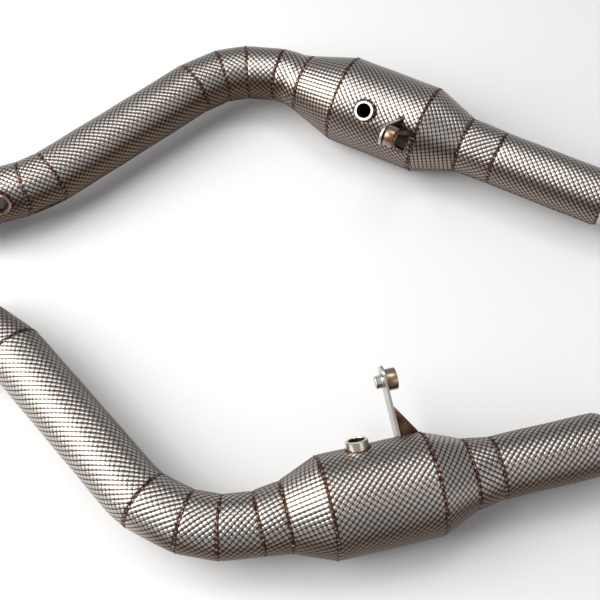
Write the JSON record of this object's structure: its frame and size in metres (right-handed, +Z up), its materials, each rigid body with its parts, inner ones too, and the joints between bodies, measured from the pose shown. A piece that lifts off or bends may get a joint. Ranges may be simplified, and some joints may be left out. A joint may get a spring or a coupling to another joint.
{
  "type": "exhaust manifold",
  "caption": "Two bent exhaust downpipes, each with a catalytic converter under embossed foil, a sensor bung, a hanger bracket, a V-band inlet clamp and a slotted outlet.",
  "frame": {"origin": "on the floor, under the middle of the outline of both pipes together", "axes": "+X from the inlets towards the outlets, +Y from the near pipe towards the far pipe, +Z up"},
  "size_m": [0.9042, 0.7149, 0.153],
  "materials": {
    "embossed_foil": "embossed stainless foil, semi-gloss",
    "insulation": "matte ceramic wool",
    "brick_mat": "matte ceramic mat",
    "brick_foil": "dull wound foil",
    "converter_steel": "heat tinted, satin",
    "tube_steel": "satin stainless",
    "bung_steel": "turned, satin",
    "bracket_steel": "heat tinted, satin",
    "bolt_steel": "zinc plated, semi-gloss",
    "clamp_steel": "pressed stainless, satin",
    "t_bolt_steel": "machined, satin",
    "nut_plate": "passivated plating, semi-gloss"
  },
  "bodies": {
    "near_pipe": {"near_inlet_flange": "tube_steel", "near_inlet_neck": "tube_steel", "near_inlet_turn": "tube_steel", "near_inlet_tube": "tube_steel", "near_inlet_bend": "tube_steel", "near_inlet_cone": "converter_steel", "near_cat_shell": "converter_steel", "near_cat_mats": "brick_mat", "near_cat_bricks": "brick_foil", "near_outlet_cone": "converter_steel", "near_outlet_pipe": "tube_steel", "near_wrap": "insulation", "near_cat_bung": "bung_steel", "near_bracket_plate": "bracket_steel", "near_bracket_gusset": "bracket_steel", "near_bracket_boss": "bracket_steel", "near_foil_inlet_end": "embossed_foil", "near_foil_inlet_long": "embossed_foil", "near_foil_bend_gores": "embossed_foil", "near_foil_inlet_cone": "embossed_foil", "near_foil_cat": "embossed_foil", "near_foil_outlet_cone": "embossed_foil", "near_foil_outlet_long": "embossed_foil"},
    "far_pipe": {"far_inlet_flange": "tube_steel", "far_inlet_neck": "tube_steel", "far_inlet_turn": "tube_steel", "far_inlet_tube": "tube_steel", "far_inlet_bend": "tube_steel", "far_inlet_cone": "converter_steel", "far_cat_shell": "converter_steel", "far_cat_mats": "brick_mat", "far_cat_bricks": "brick_foil", "far_outlet_cone": "converter_steel", "far_outlet_pipe": "tube_steel", "far_wrap": "insulation", "far_cat_bung": "bung_steel", "far_inlet_bung": "bung_steel", "far_bracket_plate": "bracket_steel", "far_bracket_gusset": "bracket_steel", "far_bracket_boss": "bracket_steel", "far_foil_inlet_end": "embossed_foil", "far_foil_inlet_turn": "embossed_foil", "far_foil_inlet_long": "embossed_foil", "far_foil_bend_gores": "embossed_foil", "far_foil_inlet_cone": "embossed_foil", "far_foil_cat": "embossed_foil", "far_foil_outlet_cone": "embossed_foil", "far_foil_outlet_long": "embossed_foil"},
    "near_bolt": {"near_hanger_bolt": "bolt_steel"},
    "near_clamp": {"near_clamp_front_band": "clamp_steel", "near_clamp_rear_band": "clamp_steel", "near_clamp_link": "clamp_steel"},
    "near_t_bolt_set": {"near_t_bolt": "t_bolt_steel", "near_t_bolt_nut": "nut_plate"},
    "far_clamp": {"far_clamp_front_band": "clamp_steel", "far_clamp_rear_band": "clamp_steel", "far_clamp_link": "clamp_steel"},
    "far_t_bolt_set": {"far_t_bolt": "t_bolt_steel", "far_t_bolt_nut": "nut_plate"}
  },
  "joints": [
    {"name": "far_pipe_lift_away", "type": "slide", "parent": "near_pipe", "child": "far_pipe", "axis": [0, 1, 0], "range_m": [0, 0.15]},
    {"name": "near_clamp_swivel", "type": "hinge", "parent": "near_pipe", "child": "near_clamp", "pos_m": [-0.42747, -0.06203, 0.058], "axis": [-0.9205, 0.3907, 0], "continuous": true},
    {"name": "near_t_bolt_swing", "type": "hinge", "parent": "near_clamp", "child": "near_t_bolt_set", "pos_m": [-0.4222, -0.04961, 0.111], "axis": [-0.9205, 0.3907, 0], "range_deg": [0, 75]},
    {"name": "near_bolt_draw", "type": "slide", "parent": "near_pipe", "child": "near_bolt", "axis": [-0.972, -0.2351, 0], "range_m": [0, 0.025]},
    {"name": "far_clamp_swivel", "type": "hinge", "parent": "far_pipe", "child": "far_clamp", "pos_m": [-0.43311, 0.09863, 0.058], "axis": [-0.9444, -0.3289, 0], "continuous": true},
    {"name": "far_t_bolt_swing", "type": "hinge", "parent": "far_clamp", "child": "far_t_bolt_set", "pos_m": [-0.42867, 0.08588, 0.111], "axis": [0.9444, 0.3289, 0], "range_deg": [0, 75]}
  ]
}
